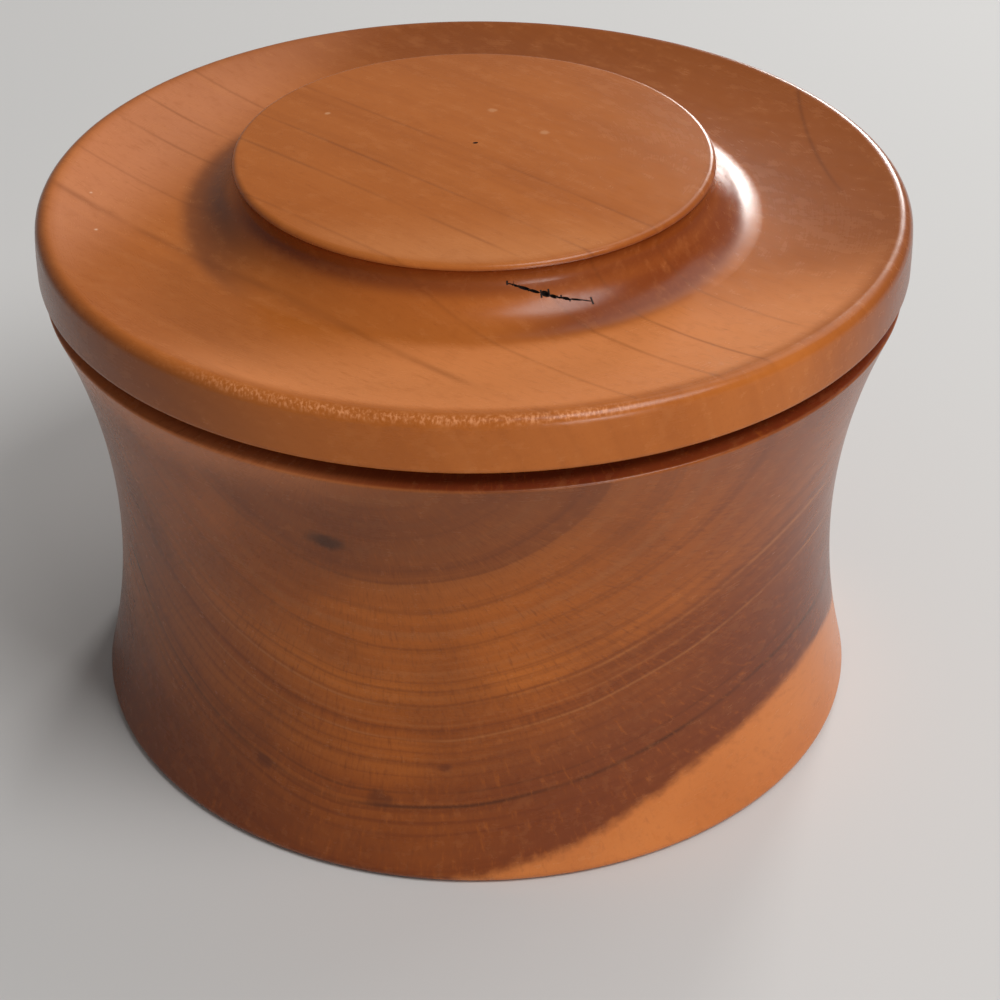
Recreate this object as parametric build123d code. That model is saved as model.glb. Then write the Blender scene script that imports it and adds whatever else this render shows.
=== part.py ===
from build123d import *

import os

# Turned wooden spice box with a lift-off lid, in millimetres.
# +Z points up through the middle of the box, and the origin is at the middle of the foot's underside.
# Both pieces are turned on one axis, so each is a half section revolved about Z.

# Outside of the body
FOOT_RADIUS = 60.2
FOOT_EDGE_ROUND = 1.2
WAIST_RADIUS = 56.1
WAIST_HEIGHT = 30.6
RIM_RADIUS = 63.9
RIM_HEIGHT = 71.4
RIM_EDGE_ROUND = 0.35

# Bevel and quirk of the rim, which leave a shadow line below the lid
BEVEL_WIDTH = 3.0
BEVEL_RISE = 1.0
SEAT_RADIUS = 59.3
SEAT_HEIGHT = 74.0

# Inside of the body
BORE_RADIUS = 50.0
FLOOR_THICKNESS = 7.0
FLOOR_CORNER_ROUND = 8.0
MOUTH_ROUND = 0.8

# Underside of the foot, hollowed a little so that the box stands on a ring
FOOT_RING_INNER_RADIUS = 52.0
FOOT_HOLLOW = 1.6

# Outside of the lid
LID_RADIUS = 64.6
LID_WIDEST_ABOVE_SEAT = 3.0
LID_LOWER_ROUND = 0.8
LID_EDGE_RADIUS = 64.2
LID_EDGE_HEIGHT = 82.8
LID_EDGE_ROUND = 1.8

# Dished field and cove of the lid
COVE_BOTTOM_RADIUS = 43.3
COVE_BOTTOM_HEIGHT = 80.3
COVE_TOP_RADIUS = 34.7
COVE_TOP_HEIGHT = 87.3

# Raised disc that serves as the knob
KNOB_RADIUS = 35.4
KNOB_HEIGHT = 89.0
KNOB_EDGE_ROUND = 0.9
KNOB_LIP = 0.3
KNOB_CROWN = 0.4

# Spigot below the lid, with a running clearance in the bore
SPIGOT_CLEARANCE = 0.3
SPIGOT_DEPTH = 5.0
SPIGOT_INNER_RADIUS = 45.0
SPIGOT_LEAD_ROUND = 0.8
LID_HOLLOW = 4.0


def corner(sketch, radius, height):
    """The sketch's corner nearest a radius and height of the section."""
    return sketch.vertices().sort_by_distance((radius, 0, height))[0]


def turned(outline, rounds):
    """A half section rounded at its named corners and revolved about the axis of the box."""
    section = make_face(Plane.XZ * outline)
    for radius, height, round_size in rounds:
        section = fillet(corner(section, radius, height), round_size)
    return revolve(section, Axis.Z)


def box_body():
    """The body: waisted outside, bevelled rim with its seat, bore, and hollowed foot."""
    foot_middle = (0, FOOT_HOLLOW)
    ring_inner = (FOOT_RING_INNER_RADIUS, 0)
    foot_edge = (FOOT_RADIUS, 0)
    waist = (WAIST_RADIUS, WAIST_HEIGHT)
    rim_edge = (RIM_RADIUS, RIM_HEIGHT)
    bevel_top = (RIM_RADIUS - BEVEL_WIDTH, RIM_HEIGHT + BEVEL_RISE)
    seat_outer = (SEAT_RADIUS, SEAT_HEIGHT)
    mouth = (BORE_RADIUS, SEAT_HEIGHT)
    floor_corner = (BORE_RADIUS, FLOOR_THICKNESS)
    floor_middle = (0, FLOOR_THICKNESS)
    outline = Curve() + [
        TangentArc(foot_middle, ring_inner, tangent=(1, 0)),
        Line(ring_inner, foot_edge),
        TangentArc(waist, foot_edge, tangent=(0, -1)),
        TangentArc(waist, rim_edge, tangent=(0, 1)),
        Line(rim_edge, bevel_top),
        TangentArc(seat_outer, bevel_top, tangent=(0, -1)),
        Line(seat_outer, mouth),
        Line(mouth, floor_corner),
        Line(floor_corner, floor_middle),
        Line(floor_middle, foot_middle),
    ]
    rounds = [
        (*foot_edge, FOOT_EDGE_ROUND),
        (*rim_edge, RIM_EDGE_ROUND),
        (*mouth, MOUTH_ROUND),
        (*floor_corner, FLOOR_CORNER_ROUND),
    ]
    return turned(outline, rounds)


def lid():
    """The lid: spigot, rounded edge, dished field, undercut cove and raised disc."""
    spigot_radius = BORE_RADIUS - SPIGOT_CLEARANCE
    spigot_height = SEAT_HEIGHT - SPIGOT_DEPTH
    hollow_middle = (0, spigot_height + LID_HOLLOW)
    spigot_inner = (SPIGOT_INNER_RADIUS, spigot_height)
    spigot_outer = (spigot_radius, spigot_height)
    shoulder = (spigot_radius, SEAT_HEIGHT)
    lower_edge = (LID_RADIUS, SEAT_HEIGHT)
    widest = (LID_RADIUS, SEAT_HEIGHT + LID_WIDEST_ABOVE_SEAT)
    upper_edge = (LID_EDGE_RADIUS, LID_EDGE_HEIGHT)
    cove_bottom = (COVE_BOTTOM_RADIUS, COVE_BOTTOM_HEIGHT)
    cove_top = (COVE_TOP_RADIUS, COVE_TOP_HEIGHT)
    knob_lower = (KNOB_RADIUS, COVE_TOP_HEIGHT + KNOB_LIP)
    knob_upper = (KNOB_RADIUS, KNOB_HEIGHT)
    knob_middle = (0, KNOB_HEIGHT + KNOB_CROWN)
    outline = Curve() + [
        TangentArc(hollow_middle, spigot_inner, tangent=(1, 0)),
        Line(spigot_inner, spigot_outer),
        Line(spigot_outer, shoulder),
        Line(shoulder, lower_edge),
        Line(lower_edge, widest),
        TangentArc(widest, upper_edge, tangent=(0, 1)),
        TangentArc(cove_bottom, upper_edge, tangent=(1, 0)),
        TangentArc(cove_bottom, cove_top, tangent=(-1, 0)),
        Line(cove_top, knob_lower),
        Line(knob_lower, knob_upper),
        TangentArc(knob_middle, knob_upper, tangent=(1, 0)),
        Line(knob_middle, hollow_middle),
    ]
    rounds = [
        (*spigot_outer, SPIGOT_LEAD_ROUND),
        (*lower_edge, LID_LOWER_ROUND),
        (*upper_edge, LID_EDGE_ROUND),
        (*knob_upper, KNOB_EDGE_ROUND),
    ]
    return turned(outline, rounds)


os.makedirs("parts", exist_ok=True)
export_step(box_body(), "parts/box_body.step")
export_step(lid(), "parts/lid.step")
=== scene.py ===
"""Turned wooden spice box with a lift-off lid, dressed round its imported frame, in metres."""
import logging
import math
from dataclasses import dataclass, field, replace
from enum import Enum
from typing import Any, Callable

import bmesh
import bpy
from mathutils import Matrix, Vector


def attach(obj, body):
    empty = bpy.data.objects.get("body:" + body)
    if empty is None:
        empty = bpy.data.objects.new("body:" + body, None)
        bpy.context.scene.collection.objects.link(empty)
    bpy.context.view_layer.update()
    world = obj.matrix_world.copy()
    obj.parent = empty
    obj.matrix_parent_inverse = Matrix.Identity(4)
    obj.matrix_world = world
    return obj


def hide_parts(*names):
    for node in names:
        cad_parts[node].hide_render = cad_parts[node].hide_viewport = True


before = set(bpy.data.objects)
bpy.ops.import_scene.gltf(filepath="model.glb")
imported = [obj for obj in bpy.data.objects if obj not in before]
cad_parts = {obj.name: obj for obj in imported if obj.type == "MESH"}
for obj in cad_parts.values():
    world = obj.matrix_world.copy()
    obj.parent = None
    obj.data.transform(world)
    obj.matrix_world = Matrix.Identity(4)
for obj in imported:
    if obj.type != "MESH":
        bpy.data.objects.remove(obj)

log = logging.getLogger("spice_box")
MM = 0.001
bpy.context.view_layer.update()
Pair = tuple[float, float]
Triple = tuple[float, float, float]


def placed(name: str, data: bpy.types.ID) -> bpy.types.Object:
    """Puts a mesh, a lamp or a camera in the scene.

    Args:
        name: the object's name.
        data: what it holds.

    Returns:
        The object.
    """
    holder = bpy.data.objects.new(name, data)
    bpy.context.scene.collection.objects.link(holder)
    return holder


class Sock:
    """A node's output that adds Math nodes when it is used in an expression."""

    def __init__(self, tree: "Tree", socket: bpy.types.NodeSocket) -> None:
        """Keeps the tree and the output.

        Args:
            tree: the tree that new nodes go into.
            socket: the output that this value reads.
        """
        self.tree = tree
        self.socket = socket

    def _math(self, operation: str, *values: Any) -> "Sock":
        """A Math node on some values, this one usually among them."""
        return self.tree.add("ShaderNodeMath", {"operation": operation}, dict(enumerate(values)))

    def __add__(self, other: Any) -> "Sock":
        """The sum."""
        return self._math("ADD", self, other)

    def __radd__(self, other: Any) -> "Sock":
        """The sum, from the right."""
        return self._math("ADD", other, self)

    def __sub__(self, other: Any) -> "Sock":
        """The difference."""
        return self._math("SUBTRACT", self, other)

    def __rsub__(self, other: Any) -> "Sock":
        """The difference, from the right."""
        return self._math("SUBTRACT", other, self)

    def __mul__(self, other: Any) -> "Sock":
        """The product."""
        return self._math("MULTIPLY", self, other)

    def __rmul__(self, other: Any) -> "Sock":
        """The product, from the right."""
        return self._math("MULTIPLY", other, self)

    def __truediv__(self, other: Any) -> "Sock":
        """The quotient."""
        return self._math("DIVIDE", self, other)

    def __rtruediv__(self, other: Any) -> "Sock":
        """The quotient, from the right."""
        return self._math("DIVIDE", other, self)

    def __neg__(self) -> "Sock":
        """The negative."""
        return self._math("MULTIPLY", self, -1.0)

    def root(self) -> "Sock":
        """The square root."""
        return self._math("SQRT", self)

    def floor(self) -> "Sock":
        """The whole part."""
        return self._math("FLOOR", self)

    def cosine(self) -> "Sock":
        """The cosine."""
        return self._math("COSINE", self)

    def sine(self) -> "Sock":
        """The sine."""
        return self._math("SINE", self)

    def angle_over(self, other: Any) -> "Sock":
        """The angle whose tangent is this value over another, in radians."""
        return self._math("ARCTAN2", self, other)

    def absolute(self) -> "Sock":
        """The value without its sign."""
        return self._math("ABSOLUTE", self)

    def largest(self, other: Any) -> "Sock":
        """The larger of two values."""
        return self._math("MAXIMUM", self, other)

    def smallest(self, other: Any) -> "Sock":
        """The smaller of two values."""
        return self._math("MINIMUM", self, other)

    def clamped(self) -> "Sock":
        """The value held between 0 and 1."""
        return self.largest(0.0).smallest(1.0)

    def rise(self, low: float, high: float) -> "Sock":
        """A smooth step.

        Args:
            low: the value at which the step is 0.
            high: the value at which the step is 1; it may be below low.

        Returns:
            The step, from 0 to 1.
        """
        turned = low > high
        ends = (high, low) if turned else (low, high)
        step = self.tree.add(
            "ShaderNodeMapRange",
            {"interpolation_type": "SMOOTHSTEP"},
            {"Value": self, "From Min": ends[0], "From Max": ends[1]},
        )
        return 1.0 - step if turned else step

    def line(self, place: float, width: float) -> "Sock":
        """A soft line, 1 at a place and falling to nothing on both sides.

        Args:
            place: the value at the middle of the line.
            width: the distance at which the line has fallen to about a third.

        Returns:
            The line's strength.
        """
        away = (self - place) / width
        return self._math("EXPONENT", -(away * away))


Place = tuple[Sock, Sock, Sock, Sock]


class Tree:
    """A node tree that is filled by expressions."""

    def __init__(self, nodes: bpy.types.NodeTree) -> None:
        """Keeps Blender's own tree.

        Args:
            nodes: the tree to fill.
        """
        self.nodes = nodes

    @classmethod
    def of(cls, holder: bpy.types.Material | bpy.types.World) -> "Tree":
        """Empties the tree of a new material or world.

        Args:
            holder: what the tree belongs to.

        Returns:
            The tree, ready to fill.
        """
        holder.use_nodes = True
        holder.node_tree.nodes.clear()
        return cls(holder.node_tree)

    def add(self, kind: str, settings: dict[str, Any] | None = None, values: dict[Any, Any] | None = None,
            output: int | str = 0) -> Sock:
        """Adds one node.

        Args:
            kind: the node's type.
            settings: its properties, which are set first.
            values: numbers, colours, or outputs to link, by input name or place.
            output: the output that is returned.

        Returns:
            That output, ready for an expression.
        """
        node = self.nodes.nodes.new(kind)
        for name, value in (settings or {}).items():
            setattr(node, name, value)
        for name, value in (values or {}).items():
            if isinstance(value, Sock):
                self.nodes.links.new(value.socket, node.inputs[name])
            else:
                node.inputs[name].default_value = value
        return Sock(self, node.outputs[output] if node.outputs else None)

    def blend(self, factor: Any, first: Any, second: Any) -> Sock:
        """Mixes two colours.

        Args:
            factor: the share of the second colour.
            first: a colour, or an output that gives one.
            second: a colour, or an output that gives one.

        Returns:
            The mixed colour.
        """
        ends = [value if isinstance(value, Sock) else (*value, 1.0) for value in (first, second)]
        return self.add("ShaderNodeMix", {"data_type": "RGBA"}, {0: factor, 6: ends[0], 7: ends[1]}, 2)

    def layered(self, base: Any, layers: list[tuple[Any, Any]]) -> Sock:
        """Lays colours over a base in their order.

        Args:
            base: the colour below them.
            layers: a mask and a colour for each.

        Returns:
            The mixed colour.
        """
        for mask, colour in layers:
            base = self.blend(mask, base, colour)
        return base

    def vector(self, operation: str, values: dict[Any, Any], output: int | str = 0) -> Sock:
        """A Vector Math node."""
        return self.add("ShaderNodeVectorMath", {"operation": operation}, values, output)

    def join(self, x: Any, y: Any, z: Any) -> Sock:
        """A vector from three values."""
        return self.add("ShaderNodeCombineXYZ", {}, {0: x, 1: y, 2: z})

    def split(self, vector: Sock) -> list[Sock]:
        """The three values of a vector."""
        first = self.add("ShaderNodeSeparateXYZ", {}, {0: vector})
        return [Sock(self, part) for part in first.socket.node.outputs]

    def noise(self, vector: Sock, scale: float, detail: float = 2.0, roughness: float = 0.5,
              twist: float = 0.0) -> Sock:
        """Smooth noise from 0 to 1 at each point.

        Args:
            vector: where the noise is read.
            scale: how fine it is.
            detail: how many finer layers it has.
            roughness: how strong they are.
            twist: how far it folds over itself.

        Returns:
            The noise, 0.5 on average.
        """
        values = {"Vector": vector, "Scale": scale, "Detail": detail, "Roughness": roughness, "Distortion": twist}
        return self.add("ShaderNodeTexNoise", {"noise_dimensions": "3D"}, values)


@dataclass(frozen=True)
class Run:
    """A stretch of a section with one curvature: a straight line or an arc, in millimetres."""

    start: Pair
    heading: float
    length: float
    curvature: float = 0.0

    @staticmethod
    def straight(start: Pair, end: Pair) -> "Run":
        """A straight run between two points."""
        across, up = end[0] - start[0], end[1] - start[1]
        return Run(start, math.atan2(up, across), math.hypot(across, up))

    @staticmethod
    def leaving(start: Pair, end: Pair, tangent: Pair) -> "Run":
        """An arc that leaves its start along a tangent.

        Args:
            start: the first point.
            end: the last point.
            tangent: the direction at the start.

        Returns:
            The arc.
        """
        heading = math.atan2(tangent[1], tangent[0])
        across, up = end[0] - start[0], end[1] - start[1]
        chord = math.hypot(across, up)
        half_turn = math.remainder(math.atan2(up, across) - heading, math.tau)
        curvature = 2.0 * math.sin(half_turn) / chord
        return Run(start, heading, 2.0 * half_turn / curvature, curvature)

    def turned_round(self) -> "Run":
        """The same stretch, walked from its end."""
        heading = self.heading_at(self.length) + math.pi
        return Run(self.at(self.length), heading, self.length, -self.curvature)

    def heading_at(self, distance: float) -> float:
        """The direction at a distance along the run."""
        return self.heading + self.curvature * distance

    def at(self, distance: float) -> Pair:
        """The point at a distance along the run."""
        if abs(self.curvature) < 1e-9:
            return (self.start[0] + distance * math.cos(self.heading),
                    self.start[1] + distance * math.sin(self.heading))
        now = self.heading_at(distance)
        return (self.start[0] + (math.sin(now) - math.sin(self.heading)) / self.curvature,
                self.start[1] - (math.cos(now) - math.cos(self.heading)) / self.curvature)

    def between(self, first: float, last: float) -> "Run":
        """The part of the run between two distances."""
        return Run(self.at(first), self.heading_at(first), last - first, self.curvature)


@dataclass
class Section:
    """A half section that is walked anticlockwise, so that its left side is wood, in millimetres."""

    runs: list[Run]
    spacing: float = 1.5
    hidden_spacing: float = 5.0
    support: float = 0.12
    largest_turn: float = math.radians(15.0)
    tight_curvature: float = 0.3
    search_steps: int = 12

    def rounded(self, corner: Pair, radius: float) -> "Section":
        """The section with one corner rounded.

        Args:
            corner: where the corner is, roughly.
            radius: the round's radius.

        Returns:
            A new section, with the arc between the two runs that met there.
        """
        place = min(range(1, len(self.runs)), key=lambda i: math.dist(self.runs[i].start, corner))
        before, after = self.runs[place - 1], self.runs[place]
        turn = math.remainder(after.heading - before.heading_at(before.length), math.tau)
        side = math.copysign(radius, turn)

        def centre(run: Run, distance: float) -> Pair:
            """The point a radius to the inner side of a run."""
            x, y = run.at(distance)
            heading = run.heading_at(distance)
            return x - side * math.sin(heading), y + side * math.cos(heading)

        # Newton's method finds where the two runs, moved inwards by the radius, cross
        cut = radius * abs(math.tan(turn / 2.0))
        end, begin = before.length - cut, cut
        for _ in range(self.search_steps):
            x0, y0 = centre(before, end)
            x1, y1 = centre(after, begin)
            gap = (x1 - x0, y1 - y0)
            a = before.heading_at(end)
            b = after.heading_at(begin)
            sa = 1.0 - side * before.curvature
            sb = 1.0 - side * after.curvature
            bottom = math.sin(b - a)
            end += (gap[0] * math.sin(b) - gap[1] * math.cos(b)) / (bottom * sa)
            begin += (gap[0] * math.sin(a) - gap[1] * math.cos(a)) / (bottom * sb)
        a, b = before.heading_at(end), after.heading_at(begin)
        arc_turn = math.remainder(b - a, math.tau)
        arc = Run(before.at(end), a, abs(arc_turn) * radius, 1.0 / side)
        runs = (self.runs[: place - 1] + [before.between(0.0, end), arc, after.between(begin, after.length)]
                + self.runs[place + 1:])
        return replace(self, runs=runs)

    def points(self, fine: Callable[[Pair], bool]) -> list[Pair]:
        """The section as points, close together on tight rounds and beside them.

        Args:
            fine: says whether a point shows, and so needs the finer spacing.

        Returns:
            The points in order, from the axis back to the axis.
        """
        places = [self.runs[0].start]
        for run in self.runs:
            spacing = self.spacing if fine(run.at(run.length / 2.0)) else self.hidden_spacing
            by_turn = abs(run.curvature) * run.length / self.largest_turn
            steps = max(1, math.ceil(run.length / spacing), math.ceil(by_turn))
            marks = [run.length * i / steps for i in range(1, steps + 1)]
            if run.length > 6.0 * self.support and abs(run.curvature) < self.tight_curvature:
                marks = [self.support] + marks[:-1] + [run.length - self.support, run.length]
            places += [run.at(mark) for mark in marks]
        return places


class Lathe:
    """Turns a section round the axis of the box with a Geometry Nodes tree, in metres."""

    MERGE_DISTANCE = 1e-6
    TORN_FROM_RADIUS = (0.0617, 0.0632)
    TORN_FROM_HEIGHT = (0.0796, 0.0812)
    TORN_NOISE_SCALE = 1900.0
    CHATTER_NOISE_SCALE = 160.0

    def __init__(self) -> None:
        """Builds the tree once for both pieces."""
        self.group = bpy.data.node_groups.new("lathe", "GeometryNodeTree")
        face = self.group.interface
        face.new_socket("Section", in_out="INPUT", socket_type="NodeSocketGeometry")
        for name, kind, default in (
            ("Divisions", "NodeSocketInt", 720),
            ("Narrow Way", "NodeSocketVector", (0.0, 1.0, 0.0)),
            ("Shrinkage", "NodeSocketFloat", 0.0),
            ("Tear-out Depth", "NodeSocketFloat", 0.0),
            ("Tear-out Middle", "NodeSocketVector", (0.0, -0.064, 0.082)),
            ("Tear-out Reach", "NodeSocketFloat", 0.02),
            ("Chatter", "NodeSocketFloat", 0.0),
            ("Wood", "NodeSocketMaterial", None),
        ):
            socket = face.new_socket(name, in_out="INPUT", socket_type=kind)
            if default is not None:
                socket.default_value = default
        face.new_socket("Turned Piece", in_out="OUTPUT", socket_type="NodeSocketGeometry")
        self._fill()

    def _fill(self) -> None:
        """Adds the nodes: a grid with one row for each point of the section, wrapped round Z."""
        tree = Tree(self.group)
        given = tree.add("NodeGroupInput").socket.node.outputs
        told = {socket.name: Sock(tree, socket) for socket in given if socket.name}
        rows = tree.add("GeometryNodeAttributeDomainSize", {"component": "MESH"}, {0: told["Section"]}, "Point Count")
        columns = told["Divisions"] + 1.0
        grid = tree.add("GeometryNodeMeshGrid", {}, {"Vertices X": rows, "Vertices Y": columns})
        index = tree.add("GeometryNodeInputIndex")
        row = (index / columns).floor()
        column = index - row * columns
        here = tree.add("GeometryNodeInputPosition")
        sample = tree.add(
            "GeometryNodeSampleIndex", {"data_type": "FLOAT_VECTOR", "domain": "POINT"},
            {"Geometry": told["Section"], "Value": here, "Index": row},
        )
        radius, _, height = tree.split(sample)
        turn = column * math.tau / told["Divisions"]
        place = tree.join(radius * turn.cosine(), radius * turn.sine(), height)
        wrapped = tree.add("GeometryNodeSetPosition", {}, {"Geometry": grid, "Position": place})
        merged = tree.add("GeometryNodeMergeByDistance", {}, {"Geometry": wrapped, "Distance": self.MERGE_DISTANCE})
        outward = tree.add("GeometryNodeFlipFaces", {}, {"Mesh": merged})

        # Wood shrinks across its grain, so a round turning goes slightly oval
        cross = tree.vector("DOT_PRODUCT", {0: here, 1: told["Narrow Way"]}, "Value")
        shrink = tree.vector("SCALE", {0: told["Narrow Way"], "Scale": -cross * told["Shrinkage"]})
        seasoned = tree.add("GeometryNodeSetPosition", {}, {"Geometry": outward, "Offset": shrink})

        # End grain that tore as the edge was rounded, and a faint chatter from the tool
        normal = tree.add("GeometryNodeInputNormal")
        away = tree.vector("DISTANCE", {0: here, 1: told["Tear-out Middle"]}, "Value")
        across, back, up = tree.split(here)
        out = (across * across + back * back).root()
        edge = out.rise(*self.TORN_FROM_RADIUS) * up.rise(*self.TORN_FROM_HEIGHT)
        torn = (1.3 - away * 1.3 / told["Tear-out Reach"]).clamped() * edge
        ragged = tree.noise(here, self.TORN_NOISE_SCALE, 3.0, 0.6)
        depth = torn * ragged.rise(0.42, 0.68) * told["Tear-out Depth"]
        ripple = tree.noise(here, self.CHATTER_NOISE_SCALE, 1.0) * told["Chatter"]
        push = tree.vector("SCALE", {0: normal, "Scale": -(depth + ripple)})
        worked = tree.add("GeometryNodeSetPosition", {}, {"Geometry": seasoned, "Offset": push})
        smooth = tree.add("GeometryNodeSetShadeSmooth", {}, {"Geometry": worked})
        real = tree.add("GeometryNodeRealizeInstances", {}, {0: smooth})
        finished = tree.add("GeometryNodeSetMaterial", {}, {"Geometry": real, "Material": told["Wood"]})
        tree.add("NodeGroupOutput", {}, {0: finished})

    def turn(self, name: str, section: list[Pair], settings: dict[str, Any]) -> bpy.types.Object:
        """Turns one piece.

        Args:
            name: the piece's name.
            section: its half section, in millimetres.
            settings: values for the tree's named inputs.

        Returns:
            The piece as a plain mesh at the origin, closed, with its faces outwards.
        """
        mesh = bpy.data.meshes.new(name + "_section")
        mesh.from_pydata([(r * MM, 0.0, z * MM) for r, z in section],
                         [(i, i + 1) for i in range(len(section) - 1)], [])
        blank = placed(name + "_blank", mesh)
        modifier = blank.modifiers.new("lathe", "NODES")
        modifier.node_group = self.group
        sockets = {item.name: item.identifier for item in self.group.interface.items_tree if item.in_out == "INPUT"}
        for key, value in settings.items():
            modifier[sockets[key]] = value
        depsgraph = bpy.context.evaluated_depsgraph_get()
        turned = bpy.data.meshes.new_from_object(blank.evaluated_get(depsgraph))
        turned.name = name
        bpy.data.objects.remove(blank)
        return placed(name, turned)


@dataclass(frozen=True)
class Chip:
    """A small hollow where wood is missing: a stretch of a crack, a pinhole or a nick, in millimetres."""

    start: Triple
    end: Triple
    width: float
    depth: float


@dataclass(frozen=True)
class Mark:
    """A stain, a tiny knot or a pale scuff on a surface, in millimetres."""

    place: Triple
    reach: float
    colour: Triple
    strength: float
    length: float = 1.0


@dataclass(frozen=True)
class GrowthLine:
    """One growth ring that stands out, by its radius from the log's centre in millimetres."""

    radius: float
    width: float
    strength: float


@dataclass(frozen=True)
class Grain:
    """How the log lay in a blank: its fibres run level, and its rings lie round a centre line, in millimetres."""

    fibre_turn: float
    centre_across: float
    centre_height: float
    dark_lines: tuple[GrowthLine, ...]
    pale_lines: tuple[GrowthLine, ...] = ()
    wide_bands: float = 9.0
    fine_bands: float = 1.6
    year: float = 2.1
    wander: float = 3.0
    ray_radius: float = 60.0


@dataclass(frozen=True)
class Tone:
    """A slow change of colour towards one side of a piece, in millimetres; some tones are the wood's own colour and
    many are painted light and shade.
    """

    toward: Triple
    start: float
    end: float
    colour: Triple
    strength: float
    beyond: float = 0.0
    within: float = 0.0
    until: float = 0.0


@dataclass(frozen=True)
class Curl:
    """A growth line that bends back on itself on a level face, in millimetres."""

    place: Pair
    bend: float
    reach: float
    width: float
    strength: float


@dataclass(frozen=True)
class OiledWood:
    """An oiled satin finish on one wood, with linear colours."""

    name: str
    light: Triple
    middle: Triple
    dark: Triple
    line: Triple
    pale: Triple
    grain: Grain
    sap: Triple | None = None
    sap_shade: Triple | None = None
    core: Triple | None = None
    bark_side: Triple | None = None
    roughness: float = 0.26
    band_strength: float = 0.8
    cloud_strength: float = 0.4
    ray_strength: float = 0.45
    ring_strength: float = 0.35
    torn: Triple | None = None
    tones: tuple[Tone, ...] = ()
    curls: tuple[Curl, ...] = ()
    marks: tuple[Mark, ...] = ()

    def make(self) -> bpy.types.Material:
        """Builds the finish.

        Returns:
            The material, read from Object coordinates.
        """
        material = bpy.data.materials.new(self.name)
        tree = Tree.of(material)
        metres = tree.add("ShaderNodeTexCoord", {}, {}, "Object")
        scaled = tree.vector("SCALE", {0: metres, "Scale": 1.0 / MM})
        x, y, z = tree.split(scaled)
        reach = (x * x + y * y).root().largest(0.5)
        place = (x, y, z, reach)
        cos, sin = math.cos(math.radians(self.grain.fibre_turn)), math.sin(math.radians(self.grain.fibre_turn))
        along = x * sin - y * cos
        across = x * cos + y * sin

        # Growth rings about the centre of the log, which wander a little, and rays that cross them
        slow = tree.noise(tree.join(along * 0.25, across, z), 0.035, 2.0, 0.45)
        side = across - self.grain.centre_across
        rise = z - self.grain.centre_height
        ring = (side * side + rise * rise).root() + (slow - 0.5) * self.grain.wander
        round_log = side.angle_over(-rise) * self.grain.ray_radius
        wide = tree.noise(tree.join(ring, along * 0.02, 0.0), 1.0 / self.grain.wide_bands, 2.0, 0.55)
        fine = tree.noise(tree.join(ring, along * 0.02, 3.0), 1.0 / self.grain.fine_bands, 2.0, 0.6)
        rays = tree.noise(tree.join(round_log * 2.4, ring * 0.4, along * 0.35), 1.0, 3.0, 0.65)
        year = ring / self.grain.year + fine * 1.3 + wide
        late = (year - year.floor()).rise(0.45, 0.97) * fine.rise(0.3, 0.6)

        # Long soft clouds of colour, fine fibres and pores
        cloud = tree.noise(tree.join(along * 0.35, across, z), 0.05, 2.0, 0.5)
        fibres = tree.noise(tree.join(along * 0.12, across, z), 2.2, 4.0, 0.62)
        mottle = tree.noise(tree.join(along * 0.6, across, z), 0.5, 3.0, 0.6)
        pores = tree.noise(tree.join(along * 0.9, across * 4.0, z * 4.0), 1.0, 2.0, 0.6)

        heart = tree.layered(self.middle, [
            (wide.rise(0.3, 0.7) * self.band_strength * 1.4, self.light),
            (cloud.rise(0.42, 0.68) * self.cloud_strength, self.dark),
            (fine.rise(0.5, 0.72) * self.band_strength * 0.6, self.dark),
            (fine.rise(0.46, 0.26) * self.band_strength * 0.4, self.pale),
            (late * ring.rise(36.0, 52.0) * self.ring_strength, self.dark),
        ])
        if self.core:
            heart = tree.blend(ring.rise(40.0, 25.0) * 0.62, heart, self.core)
        if self.bark_side:
            heart = tree.blend(ring.rise(46.0, 70.0) * across.rise(14.0, 42.0) * 0.8, heart, self.bark_side)
        for tone in self.tones:
            heart = self._toned(tree, heart, place, tone)
        figure: Any = 1.0
        if self.sap and self.sap_shade:
            sapwood = self._sapwood(tree, along, across, z)
            pale = tree.blend(cloud.rise(0.35, 0.65) * 0.7, self.sap, self.sap_shade)
            heart = tree.blend(sapwood, heart, pale)
            figure = 1.0 - sapwood * 0.6
        for lines, colour in ((self.grain.dark_lines, self.line), (self.grain.pale_lines, self.pale)):
            for line in lines:
                broken = tree.noise(tree.join(along * 0.12, round_log * 0.1, line.radius), 0.5, 2.0).rise(0.25, 0.6)
                broken = broken * reach.rise(64.2, 61.5)
                heart = tree.blend(ring.line(line.radius, line.width) * broken * line.strength, heart, colour)
        for curl in self.curls:
            away = y - curl.place[1]
            bent = x - away * away * curl.bend
            near = away.absolute().rise(curl.reach, curl.reach * 0.6)
            heart = tree.blend(bent.line(curl.place[0], curl.width) * near * curl.strength, heart, self.line)
        heart = tree.layered(heart, [
            (rays.rise(0.5, 0.75) * self.ray_strength * figure, self.dark),
            (rays.rise(0.46, 0.26) * self.ray_strength * 0.6, self.light),
            (fibres.rise(0.52, 0.78) * 0.3 * figure, self.dark),
            (mottle.rise(0.5, 0.75) * 0.15, self.pale),
            (pores.rise(0.64, 0.78) * 0.3 * figure, self.line),
        ])
        if self.torn:
            heart = self._torn_end_grain(tree, heart, place)
        for mark in self.marks:
            heart = self._marked(tree, heart, scaled, mark)

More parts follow.
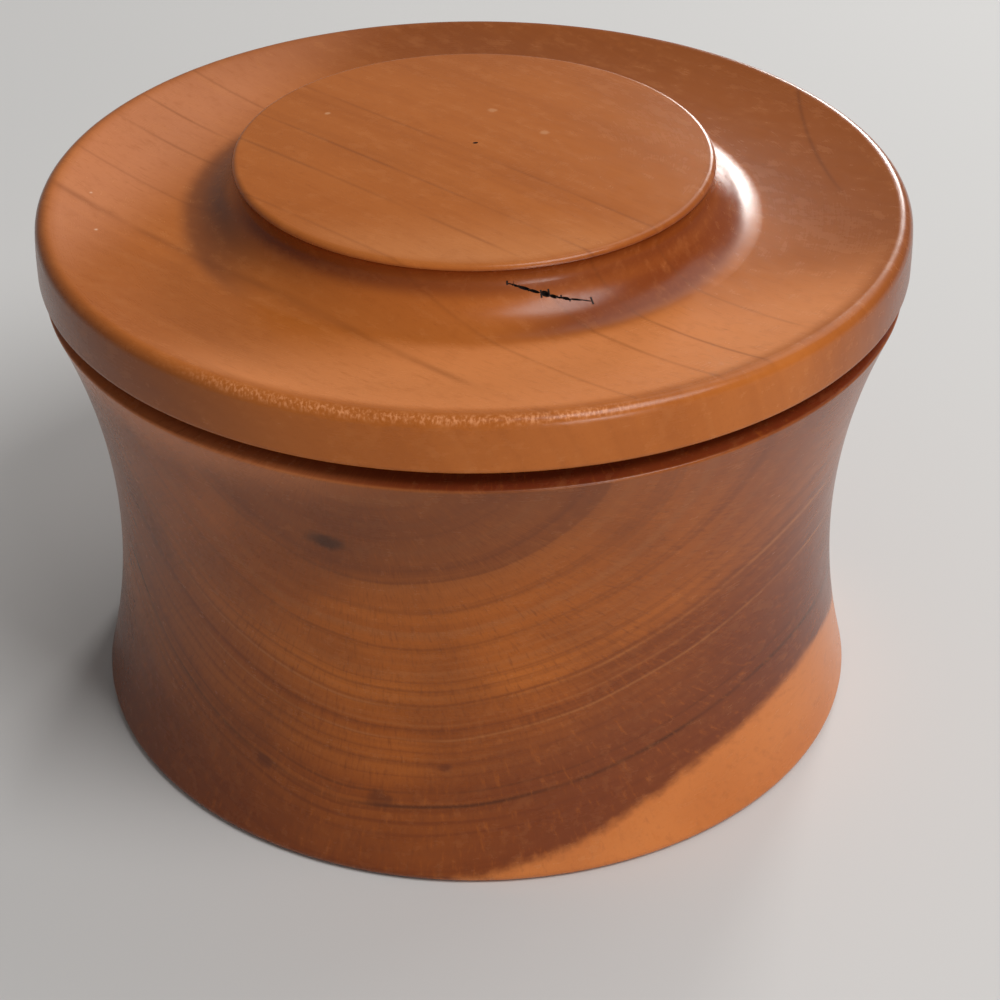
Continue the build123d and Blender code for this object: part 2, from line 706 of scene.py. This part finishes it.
        # The oil is taken up unevenly, and fine scratches run round the turning
        round_turn = tree.join(x / reach * 1.4, y / reach * 1.4, z * 1.1 + reach * 1.7)
        scratch = tree.noise(round_turn, 2.4, 3.0, 0.7)
        rough = self.roughness + (mottle - 0.5) * 0.12 + (cloud - 0.5) * 0.1 + (scratch - 0.5) * 0.06
        height = fibres * 0.4 + rays * 0.3 + scratch * 0.25 + pores.rise(0.8, 0.6) * 0.3
        bump = tree.add("ShaderNodeBump", {}, {"Strength": 0.12, "Distance": 0.0001, "Height": height})
        shader = tree.add(
            "ShaderNodeBsdfPrincipled", {},
            {"Base Color": heart, "Roughness": rough, "IOR": 1.45, "Specular IOR Level": 0.3, "Normal": bump},
        )
        tree.add("ShaderNodeOutputMaterial", {}, {"Surface": shader})
        return material

    @staticmethod
    def _toned(tree: Tree, heart: Sock, place: Place, tone: Tone) -> Sock:
        """Adds one slow change of colour, the wood's own or painted light and shade.

        Args:
            tree: the material's tree.
            heart: the wood's colour so far.
            place: the place to the right, to the back and up, and its distance from the axis, in millimetres.
            tone: the change.

        Returns:
            The changed colour.
        """
        *level, reach = place
        way = sum(part * share for part, share in zip(level, tone.toward) if share)
        amount = way.rise(tone.start, tone.end) * tone.strength
        if tone.beyond:
            amount = amount * reach.rise(tone.beyond - 1.0, tone.beyond + 2.0)
        if tone.within:
            amount = amount * reach.rise(tone.within + 1.0, tone.within - 2.0)
        if tone.until:
            amount = amount * way.rise(tone.until + 0.3, tone.until - 0.3)
        return tree.blend(amount, heart, tone.colour)

    def _torn_end_grain(self, tree: Tree, heart: Sock, place: Place) -> Sock:
        """Lightens the torn fibres along the front of the lid's edge.

        Args:
            tree: the material's tree.
            heart: the wood's colour so far.
            place: the place to the right, to the back and up, and its distance from the axis, in millimetres.

        Returns:
            The colour with pale and dark flecks.
        """
        x, y, z, reach = place
        front = y.rise(-40.0, -60.0) * (x + 9.0).absolute().rise(36.0, 22.0)
        torn = front * reach.rise(61.9, 62.9) * z.rise(81.0, 81.9)
        flecks = tree.noise(tree.join(x * 1.8, y * 1.2, z * 0.6), 1.5, 3.0, 0.6)
        heart = tree.blend(torn * flecks.rise(0.44, 0.66) * 0.7, heart, self.torn)
        return tree.blend(torn * flecks.rise(0.45, 0.3) * 0.35, heart, self.dark)

    @staticmethod
    def _marked(tree: Tree, heart: Sock, scaled: Sock, mark: Mark) -> Sock:
        """Adds one ragged mark, wider than it is high.

        Args:
            tree: the material's tree.
            heart: the wood's colour so far.
            scaled: the place in millimetres.
            mark: the mark.

        Returns:
            The colour with the mark.
        """
        x, y, z = tree.split(tree.vector("SUBTRACT", {0: scaled, 1: mark.place}))
        level = (x * x + y * y).root() / mark.length
        near = (level * level + z * z).root()
        ragged = near + (tree.noise(scaled, 0.9 / mark.reach, 2.0) - 0.5) * mark.reach
        return tree.blend(ragged.rise(mark.reach, mark.reach * 0.3) * mark.strength, heart, mark.colour)

    @staticmethod
    def _sapwood(tree: Tree, along: Sock, across: Sock, z: Sock) -> Sock:
        """Where the blank took in sapwood, the pale outer wood of the log.

        Args:
            tree: the material's tree.
            along: the distance along the fibres.
            across: the distance across them.
            z: the height.

        Returns:
            A mask that is 1 in sapwood.
        """
        past = across - 32.5
        gain = past.largest(0.0)
        edge = 2.1 + past * 0.3 + gain * gain * 0.012
        feather = tree.noise(tree.join(along * 0.05, across * 0.5, z * 0.5), 1.0, 3.0, 0.6) - 0.5
        soft = tree.noise(tree.join(along * 0.1, across * 0.06, z * 0.06), 1.0, 1.0) - 0.5
        return (edge - z + feather * 3.2 + soft * 1.5).rise(-1.6, 1.6)


@dataclass(frozen=True)
class CrackShadeAndDust:
    """The inside of a crack or a pinhole: painted shade, nearly black, with dust in it."""

    name: str
    # Painted shade: this near-black colour stands for the shade inside a narrow crack.
    colour: Triple = (0.012, 0.005, 0.003)
    dust: Triple = (0.06, 0.025, 0.012)
    roughness: float = 0.9

    def make(self) -> bpy.types.Material:
        """Builds the finish.

        Returns:
            The material, a painted shade of nearly black with dust in it.
        """
        material = bpy.data.materials.new(self.name)
        tree = Tree.of(material)
        place = tree.add("ShaderNodeTexCoord", {}, {}, "Object")
        dusty = tree.noise(place, 4000.0, 2.0).rise(0.45, 0.8) * 0.5
        colour = tree.blend(dusty, self.colour, self.dust)
        shader = tree.add("ShaderNodeBsdfPrincipled", {}, {"Base Color": colour, "Roughness": self.roughness})
        tree.add("ShaderNodeOutputMaterial", {}, {"Surface": shader})
        return material


@dataclass
class TurnedPiece:
    """A piece that is turned from one block, with what both pieces do alike."""

    finish: OiledWood
    node: str = ""
    body: str = ""
    slot: str = ""
    name: str = ""
    divisions: int = 700
    shrinkage: float = 0.0
    seat_height: float = 74.0
    chips: tuple[Chip, ...] = ()
    chip_margin: float = 1.03

    def section(self) -> Section:
        """The half section, made by each piece."""
        raise NotImplementedError

    def shows(self, place: Pair) -> bool:
        """Whether a point of the section is easily seen, said by each piece."""
        raise NotImplementedError

    def settings(self) -> dict[str, Any]:
        """The lathe's settings for this piece."""
        turn = math.radians(self.finish.grain.fibre_turn)
        return {
            "Divisions": self.divisions,
            "Narrow Way": (math.cos(turn), math.sin(turn), 0.0),
            "Shrinkage": self.shrinkage,
            "Chatter": 0.00004,
            "Wood": self.finish.make(),
        }

    def build(self, lathe: Lathe) -> bpy.types.Object:
        """Turns the piece, cuts its chips and puts it in its node's place.

        Args:
            lathe: the lathe that turns it.

        Returns:
            The finished piece.
        """
        points = self.section().points(self.shows)
        piece = lathe.turn(self.name, points, self.settings())
        if self.chips:
            self._cut(piece, points)
        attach(piece, self.body)
        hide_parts(self.node)
        log.info("%s: %d points in its section, %d faces", self.name, len(points), len(piece.data.polygons))
        return piece

    def _cutter(self, seats: list[Matrix]) -> bpy.types.Object:
        """Makes the object that cuts the chips.

        Args:
            seats: where each chip sits.

        Returns:
            One ball for each chip, stretched into its place.
        """
        mesh = bpy.data.meshes.new(self.name + "_chips")
        form = bmesh.new()
        for seat in seats:
            bmesh.ops.create_icosphere(form, subdivisions=2, radius=1.0, matrix=seat)
        form.to_mesh(mesh)
        form.free()
        return placed(mesh.name, mesh)

    def _cut(self, piece: bpy.types.Object, points: list[Pair]) -> None:
        """Cuts the chips out of the piece and paints their insides with a near-black painted shade.

        Args:
            piece: the turned piece.
            points: its section.
        """
        dried = Matrix.Diagonal((1.0, 1.0 - self.shrinkage, 1.0, 1.0))
        seats = [dried @ self._seat(chip, points) for chip in self.chips]
        cutter = self._cutter(seats)
        modifier = piece.modifiers.new("chips", "BOOLEAN")
        modifier.operation = "DIFFERENCE"
        modifier.solver = "MANIFOLD"
        modifier.object = cutter
        depsgraph = bpy.context.evaluated_depsgraph_get()
        cut = bpy.data.meshes.new_from_object(piece.evaluated_get(depsgraph))
        piece.modifiers.clear()
        bpy.data.objects.remove(cutter)
        old = piece.data
        piece.data = cut
        cut.name = self.name
        bpy.data.meshes.remove(old)
        cut.materials.append(CrackShadeAndDust("crack_shade_and_dust").make())
        crack_shade_slot = len(cut.materials) - 1
        insides = [seat.inverted() for seat in seats]
        for face in cut.polygons:
            face.use_smooth = True
            if any((inside @ face.center).length < self.chip_margin for inside in insides):
                face.material_index = crack_shade_slot

        # A chip's edge is crisp, so that its walls don't shade the wood round it
        form = bmesh.new()
        form.from_mesh(cut)
        for edge in form.edges:
            edge.smooth = len({face.material_index for face in edge.link_faces}) < 2
        form.to_mesh(cut)
        form.free()

    @staticmethod
    def _seat(chip: Chip, points: list[Pair]) -> Matrix:
        """Where a chip sits on the top of the piece.

        Args:
            chip: the chip, placed on the surface while it was still round.
            points: the piece's section.

        Returns:
            The matrix that stretches a unit ball into the chip.
        """
        start, end = Vector(chip.start), Vector(chip.end)
        middle = (start + end) / 2.0
        flat = Vector((math.hypot(middle.x, middle.y), middle.z))
        best = min(zip(points, points[1:]), key=lambda pair: (Vector(pair[0]) + Vector(pair[1]) - 2.0 * flat).length)
        (r0, z0), (r1, z1) = best
        outward = Vector((middle.x, middle.y, 0.0)).normalized()
        normal = (outward * (z1 - z0) + Vector((0.0, 0.0, r0 - r1))).normalized()
        foot = outward * r0 + Vector((0.0, 0.0, z0))
        middle -= normal * (middle - foot).dot(normal)
        run = end - start
        run = (run - normal * run.dot(normal)).normalized()
        across = normal.cross(run)
        sizes = ((end - start).length / 2.0, chip.width / 2.0, chip.depth)
        seat = Matrix.Identity(4)
        for column, (axis, size) in enumerate(zip((run, across, normal), sizes)):
            for row in range(3):
                seat[row][column] = axis[row] * size * MM
        seat.translation = middle * MM
        return seat


@dataclass
class BoxBody(TurnedPiece):
    """The body: waisted outside, bevelled rim with its seat, bore, and hollowed foot."""

    node: str = "box_body"
    body: str = "body"
    slot: str = "body_wood"
    name: str = "turned_body"
    foot_radius: float = 60.2
    foot_round: float = 1.2
    waist: Pair = (56.1, 30.6)
    rim: Pair = (63.9, 71.4)
    rim_round: float = 0.35
    bevel: Pair = (3.0, 1.0)
    seat_radius: float = 59.3
    mouth_round: float = 0.8
    corner_round: float = 8.0
    bore_radius: float = 50.0
    floor_thickness: float = 7.0
    foot_ring: float = 52.0
    foot_hollow: float = 1.6

    def section(self) -> Section:
        """The body's half section, from the middle of the foot round to the middle of the floor."""
        hollow, ring, foot = (0.0, self.foot_hollow), (self.foot_ring, 0.0), (self.foot_radius, 0.0)
        bevel_top = (self.rim[0] - self.bevel[0], self.rim[1] + self.bevel[1])
        seat, mouth = (self.seat_radius, self.seat_height), (self.bore_radius, self.seat_height)
        corner, middle = (self.bore_radius, self.floor_thickness), (0.0, self.floor_thickness)
        outline = Section([
            Run.leaving(hollow, ring, (1.0, 0.0)),
            Run.straight(ring, foot),
            Run.leaving(self.waist, foot, (0.0, -1.0)).turned_round(),
            Run.leaving(self.waist, self.rim, (0.0, 1.0)),
            Run.straight(self.rim, bevel_top),
            Run.leaving(seat, bevel_top, (0.0, -1.0)).turned_round(),
            Run.straight(seat, mouth),
            Run.straight(mouth, corner),
            Run.straight(corner, middle),
        ])
        for place, radius in ((corner, self.corner_round), (mouth, self.mouth_round),
                              (self.rim, self.rim_round), (foot, self.foot_round)):
            outline = outline.rounded(place, radius)
        return outline

    def shows(self, place: Pair) -> bool:
        """The outside and the rim show."""
        return place[0] > self.bore_radius and place[1] > 0.3


@dataclass
class BoxLid(TurnedPiece):
    """The lid: spigot, rounded edge, dished field, undercut cove and the raised disc that is its knob."""

    node: str = "lid"
    body: str = "lid"
    slot: str = "lid_wood"
    name: str = "turned_lid"
    divisions: int = 820
    shrinkage: float = 0.0115
    lid_radius: float = 64.6
    widest_height: float = 77.0
    lower_round: float = 0.8
    edge: Pair = (64.2, 82.8)
    edge_round: float = 1.8
    cove_bottom: Pair = (42.6, 80.3)
    cove_radius: float = 8.4
    cove_turn: float = 68.0
    undercut_radius: float = 2.6
    undercut_turn: float = 54.0
    knob_radius: float = 35.4
    knob_height: float = 89.0
    knob_crown: float = 0.4
    knob_lip: float = 0.35
    knob_round: float = 0.9
    spigot_radius: float = 49.7
    spigot_inner: float = 45.0
    spigot_height: float = 69.0
    hollow: float = 4.0

    def section(self) -> Section:
        """The lid's half section, from the middle of its underside round to the middle of the knob."""
        middle, inner = (0.0, self.spigot_height + self.hollow), (self.spigot_inner, self.spigot_height)
        outer, shoulder = (self.spigot_radius, self.spigot_height), (self.spigot_radius, self.seat_height)
        lower, widest = (self.lid_radius, self.seat_height), (self.lid_radius, self.widest_height)
        cove = Run(self.cove_bottom, math.pi, self.cove_radius * math.radians(self.cove_turn), -1.0 / self.cove_radius)
        undercut = Run(cove.at(cove.length), cove.heading_at(cove.length),
                       self.undercut_radius * math.radians(self.undercut_turn), -1.0 / self.undercut_radius)
        top = undercut.at(undercut.length)
        lip, brow = (self.knob_radius, top[1] + self.knob_lip), (self.knob_radius, self.knob_height)
        crown = (0.0, self.knob_height + self.knob_crown)
        outline = Section([
            Run.leaving(middle, inner, (1.0, 0.0)),
            Run.straight(inner, outer),
            Run.straight(outer, shoulder),
            Run.straight(shoulder, lower),
            Run.straight(lower, widest),
            Run.leaving(widest, self.edge, (0.0, 1.0)),
            Run.leaving(self.cove_bottom, self.edge, (1.0, 0.0)).turned_round(),
            cove,
            undercut,
            Run.straight(top, lip),
            Run.straight(lip, brow),
            Run.leaving(crown, brow, (1.0, 0.0)).turned_round(),
        ], spacing=1.2)
        for place, radius in ((brow, self.knob_round), (self.edge, self.edge_round),
                              (lower, self.lower_round), (outer, self.lower_round)):
            outline = outline.rounded(place, radius)
        return outline

    def shows(self, place: Pair) -> bool:
        """All but the underside shows."""
        return place[1] > self.seat_height + 0.2 and place[0] > 30.0

    def settings(self) -> dict[str, Any]:
        """The lathe's settings, with the torn end grain along the front of the edge."""
        return super().settings() | {
            "Narrow Way": (0.0, 1.0, 0.0),
            "Tear-out Depth": 0.0001,
            "Tear-out Middle": (-0.0092, -0.0635, 0.0822),
            "Tear-out Reach": 0.034,
        }


class Side(Enum):
    """Which way a lamp stands from the box, in degrees right of straight behind it."""

    WINDOW = 18.6
    SKY = 44.0
    ROOM = 152.0
    OVERHEAD = 130.0


@dataclass(frozen=True)
class Lamp:
    """A soft square lamp that faces the box, with its place as angles and metres."""

    side: Side
    elevation: float
    distance: float
    size: Pair
    power: float
    colour: Triple = (1.0, 1.0, 1.0)
    aim_height: float = 0.05

    def build(self) -> None:
        """Puts the lamp in its place."""
        lamp = bpy.data.lights.new(f"{self.side.name.lower()}_lamp", "AREA")
        lamp.shape = "RECTANGLE"
        lamp.size, lamp.size_y = self.size
        lamp.energy = self.power
        lamp.color = self.colour
        holder = placed(lamp.name, lamp)
        turn, lift = math.radians(self.side.value), math.radians(self.elevation)
        away = Vector((math.sin(turn) * math.cos(lift), math.cos(turn) * math.cos(lift), math.sin(lift)))
        holder.location = Vector((0.0, 0.0, self.aim_height)) + away * self.distance
        holder.rotation_euler = away.to_track_quat("Z", "Y").to_euler()


@dataclass
class Studio:
    """The plain floor, the soft lamps, the pale surroundings and the camera."""

    floor_radius: float = 4.0
    floor_colour: Triple = (0.62, 0.612, 0.6)
    floor_shade: Triple = (0.5, 0.5, 0.5)
    floor_roughness: float = 0.75
    surround: float = 0.2
    surround_seen: float = 0.8
    camera_place: Triple = (0.0, -0.34365, 0.25776)
    camera_pitch: float = 33.825
    camera_yaw: float = 0.632
    focal_pixels: float = 2594.0
    picture_width: float = 1000.0
    sensor: float = 36.0
    lamps: tuple[Lamp, ...] = field(default_factory=lambda: (
        Lamp(Side.WINDOW, 16.5, 1.3, (0.26, 0.26), 6.0, (1.0, 0.985, 0.965)),
        Lamp(Side.SKY, 50.0, 1.5, (0.9, 0.9), 4.0),
        Lamp(Side.ROOM, 7.0, 1.4, (0.35, 0.35), 4.4, (1.0, 0.97, 0.94)),
        Lamp(Side.OVERHEAD, 55.0, 1.5, (0.7, 0.7), 15.0),
    ))

    def build(self) -> None:
        """Sets up everything that isn't part of the box."""
        self._floor()
        self._surroundings()
        for lamp in self.lamps:
            lamp.build()
        self._camera()
        bpy.context.scene.view_settings.view_transform = "Standard"
        log.info("studio: floor, %d lamps and a camera", len(self.lamps))

    def _floor(self) -> None:
        """A wide plain floor with a faint unevenness."""
        mesh = bpy.data.meshes.new("floor")
        form = bmesh.new()
        bmesh.ops.create_circle(form, cap_ends=True, segments=96, radius=self.floor_radius)
        form.to_mesh(mesh)
        form.free()
        material = bpy.data.materials.new("plain_floor")
        tree = Tree.of(material)
        place = tree.add("ShaderNodeTexCoord", {}, {}, "Object")
        uneven = tree.noise(place, 3.0, 2.0).rise(0.3, 0.7) * 0.08
        colour = tree.blend(uneven, self.floor_colour, self.floor_shade)
        shader = tree.add("ShaderNodeBsdfPrincipled", {}, {"Base Color": colour, "Roughness": self.floor_roughness})
        tree.add("ShaderNodeOutputMaterial", {}, {"Surface": shader})
        mesh.materials.append(material)
        floor = placed("floor", mesh)

    def _surroundings(self) -> None:
        """Even light from all round, which the camera sees as a pale wall."""
        world = bpy.data.worlds.new("surroundings")
        tree = Tree.of(world)
        seen = tree.add("ShaderNodeLightPath", {}, {}, "Is Camera Ray")
        strength = self.surround + seen * (self.surround_seen - self.surround)
        sky = tree.add("ShaderNodeBackground", {}, {"Color": (1.0, 0.995, 0.985, 1.0), "Strength": strength})
        tree.add("ShaderNodeOutputWorld", {}, {"Surface": sky})
        bpy.context.scene.world = world

    def _camera(self) -> None:
        """The camera at the photo's angle, worked out for a square picture."""
        camera = bpy.data.cameras.new("camera")
        camera.sensor_fit = "HORIZONTAL"
        camera.sensor_width = self.sensor
        camera.lens = self.focal_pixels / self.picture_width * self.sensor
        camera.clip_start = 0.01
        holder = placed("camera", camera)
        holder.location = self.camera_place
        holder.rotation_euler = (math.radians(90.0 - self.camera_pitch), 0.0, math.radians(-self.camera_yaw))
        bpy.context.scene.camera = holder


BODY_WOOD = OiledWood(
    name="body_heartwood",
    light=(0.48, 0.13, 0.018),
    middle=(0.34, 0.082, 0.01),
    dark=(0.15, 0.034, 0.007),
    line=(0.07, 0.018, 0.006),
    pale=(0.42, 0.15, 0.045),
    sap=(0.57, 0.18, 0.044),
    sap_shade=(0.46, 0.13, 0.028),
    core=(0.135, 0.042, 0.018),
    bark_side=(0.16, 0.038, 0.012),
    grain=Grain(
        -30.0, 17.0, 83.5,
        dark_lines=(GrowthLine(72.0, 0.35, 0.8), GrowthLine(69.6, 0.2, 0.4), GrowthLine(44.0, 0.3, 0.2)),
        pale_lines=(GrowthLine(54.4, 0.25, 0.55), GrowthLine(60.2, 0.22, 0.5), GrowthLine(57.6, 0.2, 0.3)),
    ),
    tones=(
        Tone((1.0, -0.2, 0.0), 22.0, 56.0, (0.13, 0.026, 0.008), 0.55),
        Tone((-1.0, 0.0, -0.3), 2.0, 36.0, (0.12, 0.03, 0.01), 0.35),
        Tone((0.0, 0.0, -1.0), -26.0, -4.0, (0.14, 0.024, 0.004), 0.6),
        # Painted shade: the rim's bevel darkened all round, in the gap under the lid.
        Tone((0.0, 0.0, 1.0), 71.35, 71.6, (0.12, 0.014, 0.005), 0.8, beyond=58.5),
        # Painted light: the rim's bevel, its arris and the top of the outside lighter on the left, a painted highlight
        # on the arris and painted light on the bevel.
        Tone((-1.0, 0.0, 1.6), 120.0, 150.0, (0.6, 0.2, 0.07), 0.6, beyond=61.5),
    ),
    marks=(
        Mark((-20.4, -56.0, 58.4), 2.2, (0.045, 0.018, 0.01), 0.75, 1.9),
        Mark((-31.3, -48.0, 13.6), 1.5, (0.08, 0.018, 0.008), 0.5, 1.8),
        Mark((-14.2, -55.7, 12.7), 2.0, (0.08, 0.02, 0.008), 0.5, 1.5),
        Mark((-4.7, -56.4, 19.2), 0.9, (0.09, 0.02, 0.008), 0.5, 1.9),
    ),
)
LID_WOOD = OiledWood(
    name="lid_heartwood",
    light=(0.5, 0.15, 0.028),
    middle=(0.42, 0.115, 0.018),
    dark=(0.3, 0.075, 0.01),
    line=(0.16, 0.04, 0.008),
    pale=(0.58, 0.21, 0.06),
    band_strength=0.25,
    cloud_strength=0.35,
    ray_strength=0.16,
    ring_strength=0.1,
    torn=(0.72, 0.29, 0.12),
    tones=(
        # Painted shade: the field darker towards the back right, where its dish slopes away from the light.
        Tone((0.7, 0.7, 0.0), 10.0, 42.0, (0.19, 0.045, 0.008), 0.55, beyond=42.0),
        # Painted light: the field lighter and oranger towards the front, where its dish faces the light.
        Tone((0.25, -0.95, 0.0), 26.0, 46.0, (0.84, 0.31, 0.11), 0.6, beyond=41.0, within=61.5),
        # Painted light and sheen: the field lighter and pinker on the left, where it faces the light.
        Tone((-0.9, 0.44, 0.0), 36.0, 53.0, (0.78, 0.33, 0.18), 0.38, within=62.5),
        # Painted light: the front of the knob's top lighter.
        Tone((0.0, -1.0, 0.0), 18.0, 34.0, (0.8, 0.34, 0.13), 0.3, within=34.5),
        # Painted shadow: the cove and field left of the knob darker, where the knob blocks the light from the right.
        Tone((-1.0, 0.1, 0.0), 26.0, 37.0, (0.12, 0.03, 0.01), 0.62, beyond=35.5, within=43.5),
        # Painted shade: a dark band all round in the undercut below the knob's edge.
        Tone((0.0, 0.0, 1.0), 83.3, 85.6, (0.14, 0.022, 0.004), 0.88, beyond=33.5, within=39.0, until=88.3),
        # Painted shade: the cove darker at the front right, under the knob.
        Tone((1.0, -0.6, 0.0), 24.0, 38.0, (0.15, 0.022, 0.003), 0.8, beyond=34.5, within=41.0),
        # Painted shade: the field darker towards the back, where its dish slopes away from the light.
        Tone((0.0, 1.0, 0.0), 34.0, 56.0, (0.2, 0.05, 0.01), 0.4, beyond=40.0),
        # Painted shade: the lid's side darker on the left, away from the light.
        Tone((-1.0, 0.0, 0.0), 14.0, 46.0, (0.13, 0.032, 0.01), 0.72, beyond=63.2),
        Tone((1.0, 0.2, 0.0), 30.0, 56.0, (0.13, 0.026, 0.006), 0.8, beyond=63.2),
    ),
    curls=(Curl((51.4, 29.0), 0.0044, 33.0, 0.3, 0.55),),
    grain=Grain(
        47.5, -150.0, 40.0,
        dark_lines=(GrowthLine(156.9, 0.25, 0.3), GrowthLine(146.2, 0.25, 0.4), GrowthLine(139.0, 0.3, 0.35),
                    GrowthLine(128.1, 0.25, 0.25), GrowthLine(118.2, 0.6, 0.4)),
        wide_bands=8.0, fine_bands=2.2, wander=1.2,
    ),
    marks=(
        Mark((-54.8, -9.1, 81.2), 0.4, (0.8, 0.5, 0.33), 0.8),
        Mark((-56.9, 2.2, 81.3), 0.35, (0.8, 0.5, 0.33), 0.7),
        Mark((-26.9, -24.4, 83.8), 0.4, (0.8, 0.5, 0.33), 0.8),
        Mark((-27.7, -24.9, 82.7), 0.3, (0.8, 0.5, 0.33), 0.6),
        Mark((-22.0, 12.5, 89.1), 0.6, (0.7, 0.38, 0.2), 0.5),
        Mark((2.8, 12.9, 89.3), 0.9, (0.65, 0.33, 0.16), 0.4),
        Mark((10.4, 5.2, 89.3), 0.9, (0.65, 0.33, 0.16), 0.4),
    ),
)
CRACK = (
    Chip((4.4, -34.45, 85.8), (5.4, -34.4, 85.5), 0.2, 0.35),
    Chip((5.1, -34.4, 85.6), (5.9, -34.45, 85.25), 0.34, 0.5),
    Chip((5.8, -34.45, 85.3), (7.6, -34.4, 84.7), 0.5, 0.7),
    Chip((7.2, -34.4, 84.8), (8.9, -34.35, 84.2), 0.44, 0.7),
    Chip((9.0, -34.3, 84.3), (10.15, -34.3, 83.8), 0.85, 0.9),
    Chip((10.2, -34.3, 83.8), (11.3, -34.25, 83.4), 0.55, 0.8),
    Chip((10.9, -34.25, 83.5), (12.2, -34.15, 83.25), 0.28, 0.55),
    Chip((11.8, -34.15, 83.35), (13.1, -34.0, 83.0), 0.48, 0.7),
    Chip((12.9, -34.0, 83.05), (14.8, -33.65, 82.65), 0.3, 0.5),
    Chip((14.4, -33.7, 82.75), (16.1, -33.45, 82.35), 0.2, 0.4),
    Chip((-0.2, 1.7, 89.4), (0.6, 2.0, 89.4), 0.55, 0.4),
)


def main() -> None:
    """Builds the box and its studio."""
    logging.basicConfig(level=logging.INFO, format="%(name)s %(message)s")
    lathe = Lathe()
    BoxBody(finish=BODY_WOOD).build(lathe)
    BoxLid(finish=LID_WOOD, chips=CRACK).build(lathe)
    Studio().build()


if __name__ == "__main__":
    main()
